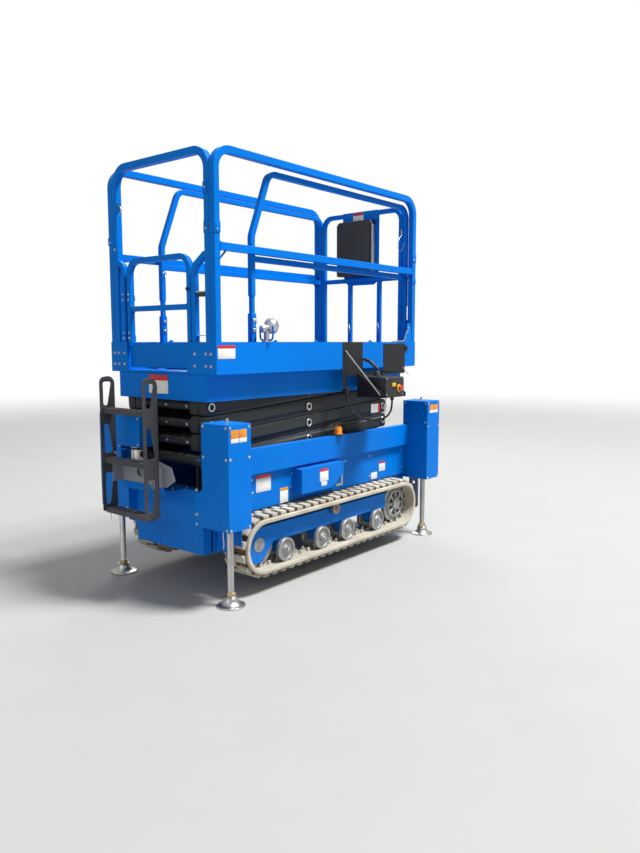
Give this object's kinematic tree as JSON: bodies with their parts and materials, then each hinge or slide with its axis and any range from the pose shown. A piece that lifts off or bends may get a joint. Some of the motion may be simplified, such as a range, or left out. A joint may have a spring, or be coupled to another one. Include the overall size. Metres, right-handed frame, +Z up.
{
  "type": "tracked scissor lift",
  "caption": "Scissor lift on rubber tracks and levelling jacks, with a lowered guarded platform, roll-out deck and boarding ladder.",
  "frame": {"origin": "on the ground under the middle of the whole machine", "axes": "+X from the ladder end towards the roll-out end, +Y to the machine's left, +Z up"},
  "size_m": [2.223, 1.158, 2.29],
  "materials": {
    "blue_paint": "satin",
    "charcoal": "satin",
    "light_grey": "satin",
    "track_rubber": "matte",
    "zinc": "satin",
    "cast_grey": "matte",
    "black_plastic": "matte",
    "black_paint": "satin",
    "orange_lens": "gloss",
    "pale_metal": "satin"
  },
  "bodies": {
    "chassis": {"beacon": "orange_lens", "chassis": "blue_paint", "end_shelf": "blue_paint", "idler_left": "cast_grey", "idler_right": "cast_grey", "jack_box_front_left": "blue_paint", "jack_box_front_right": "blue_paint", "jack_box_rear_left": "blue_paint", "jack_box_rear_right": "blue_paint", "ladder": "charcoal", "ladder_bracket": "light_grey", "motor_cover": "blue_paint", "pivot_tube": "charcoal", "power_unit": "black_paint", "pump_motor": "pale_metal", "rollers_left": "cast_grey", "rollers_right": "cast_grey", "side_beam_left": "blue_paint", "side_beam_right": "blue_paint", "side_cover_left": "blue_paint", "side_cover_right": "blue_paint", "sprocket_left": "cast_grey", "sprocket_right": "cast_grey", "tow_plates": "light_grey", "track_frame_left": "blue_paint", "track_frame_right": "blue_paint", "track_left": "track_rubber", "track_right": "track_rubber"},
    "outer_1": {"outer_arms_1": "charcoal"},
    "inner_1": {"inner_arms_1": "charcoal"},
    "outer_2": {"outer_arms_2": "charcoal"},
    "inner_2": {"inner_arms_2": "charcoal"},
    "outer_3": {"outer_arms_3": "charcoal"},
    "inner_3": {"inner_arms_3": "charcoal"},
    "outer_4": {"outer_arms_4": "charcoal"},
    "inner_4": {"inner_arms_4": "charcoal"},
    "barrel": {"lift_cylinder": "charcoal"},
    "cylinder_rod": {"lift_rod": "zinc"},
    "platform": {"deck": "blue_paint", "platform_frame": "blue_paint", "side_rail_left": "blue_paint", "side_rail_right": "blue_paint", "end_rail": "blue_paint", "control_bracket": "black_paint", "control_box": "black_plastic", "control_cable": "black_plastic", "work_lamp": "pale_metal"},
    "extension": {"extension_deck": "blue_paint", "extension_rails": "blue_paint", "front_rail": "blue_paint", "document_box": "black_plastic"},
    "gate": {"gate": "blue_paint"},
    "leg_front_left": {"jack_leg_front_left": "zinc"},
    "leg_front_right": {"jack_leg_front_right": "zinc"},
    "leg_rear_left": {"jack_leg_rear_left": "zinc"},
    "leg_rear_right": {"jack_leg_rear_right": "zinc"}
  },
  "joints": [
    {"name": "lift", "type": "hinge", "parent": "chassis", "child": "outer_1", "pos_m": [-0.8265, 0.05, 0.728], "axis": [0, -1, 0], "range_deg": [0, 54]},
    {"name": "scissor_centre_1", "type": "hinge", "parent": "outer_1", "child": "inner_1", "pos_m": [-0.05795, 0.05, 0.77525], "axis": [0, -1, 0], "range_deg": [-109, 0]},
    {"name": "scissor_end_1", "type": "hinge", "parent": "inner_1", "child": "outer_2", "pos_m": [-0.8265, 0.05, 0.8225], "axis": [0, -1, 0], "range_deg": [0, 109]},
    {"name": "scissor_centre_2", "type": "hinge", "parent": "outer_2", "child": "inner_2", "pos_m": [-0.05795, 0.05, 0.86975], "axis": [0, -1, 0], "range_deg": [-109, 0]},
    {"name": "scissor_end_2", "type": "hinge", "parent": "inner_2", "child": "outer_3", "pos_m": [-0.8265, 0.05, 0.917], "axis": [0, -1, 0], "range_deg": [0, 109]},
    {"name": "scissor_centre_3", "type": "hinge", "parent": "outer_3", "child": "inner_3", "pos_m": [-0.05795, 0.05, 0.96425], "axis": [0, -1, 0], "range_deg": [-109, 0]},
    {"name": "scissor_end_3", "type": "hinge", "parent": "inner_3", "child": "outer_4", "pos_m": [-0.8265, 0.05, 1.0115], "axis": [0, -1, 0], "range_deg": [0, 109]},
    {"name": "scissor_centre_4", "type": "hinge", "parent": "outer_4", "child": "inner_4", "pos_m": [-0.05795, 0.05, 1.05875], "axis": [0, -1, 0], "range_deg": [-109, 0]},
    {"name": "platform_level", "type": "hinge", "parent": "inner_4", "child": "platform", "pos_m": [-0.8265, 0.05, 1.106], "axis": [0, -1, 0], "range_deg": [0, 55]},
    {"name": "cylinder_tilt", "type": "hinge", "parent": "inner_1", "child": "barrel", "pos_m": [-0.59002, 0.05, 0.75787], "axis": [0, -1, 0], "range_deg": [0, 104.52]},
    {"name": "cylinder_stroke", "type": "slide", "parent": "barrel", "child": "cylinder_rod", "axis": [0.9773, 0, 0.2118], "range_m": [0, 0.2046]},
    {"name": "deck_extension", "type": "slide", "parent": "platform", "child": "extension", "axis": [1, 0, 0], "range_m": [0, 0.9]},
    {"name": "gate_swing", "type": "hinge", "parent": "platform", "child": "gate", "pos_m": [-0.8385, 0.341, 1.48], "axis": [0, 0, 1], "range_deg": [0, 90]},
    {"name": "jack_front_left", "type": "slide", "parent": "chassis", "child": "leg_front_left", "axis": [0, 0, 1], "range_m": [0, 0.28]},
    {"name": "jack_front_right", "type": "slide", "parent": "chassis", "child": "leg_front_right", "axis": [0, 0, 1], "range_m": [0, 0.28]},
    {"name": "jack_rear_left", "type": "slide", "parent": "chassis", "child": "leg_rear_left", "axis": [0, 0, 1], "range_m": [0, 0.28]},
    {"name": "jack_rear_right", "type": "slide", "parent": "chassis", "child": "leg_rear_right", "axis": [0, 0, 1], "range_m": [0, 0.28]}
  ],
  "couplings": [
    {"joint": "scissor_centre_1", "follows": "lift", "ratio": -2},
    {"joint": "scissor_end_1", "follows": "lift", "ratio": 2},
    {"joint": "scissor_centre_2", "follows": "lift", "ratio": -2},
    {"joint": "scissor_end_2", "follows": "lift", "ratio": 2},
    {"joint": "scissor_centre_3", "follows": "lift", "ratio": -2},
    {"joint": "scissor_end_3", "follows": "lift", "ratio": 2},
    {"joint": "scissor_centre_4", "follows": "lift", "ratio": -2},
    {"joint": "platform_level", "follows": "lift", "ratio": 1},
    {"joint": "cylinder_tilt", "follows": "lift", "ratio": 1.917},
    {"joint": "cylinder_stroke", "follows": "lift", "m_per_rad": 0.215}
  ]
}
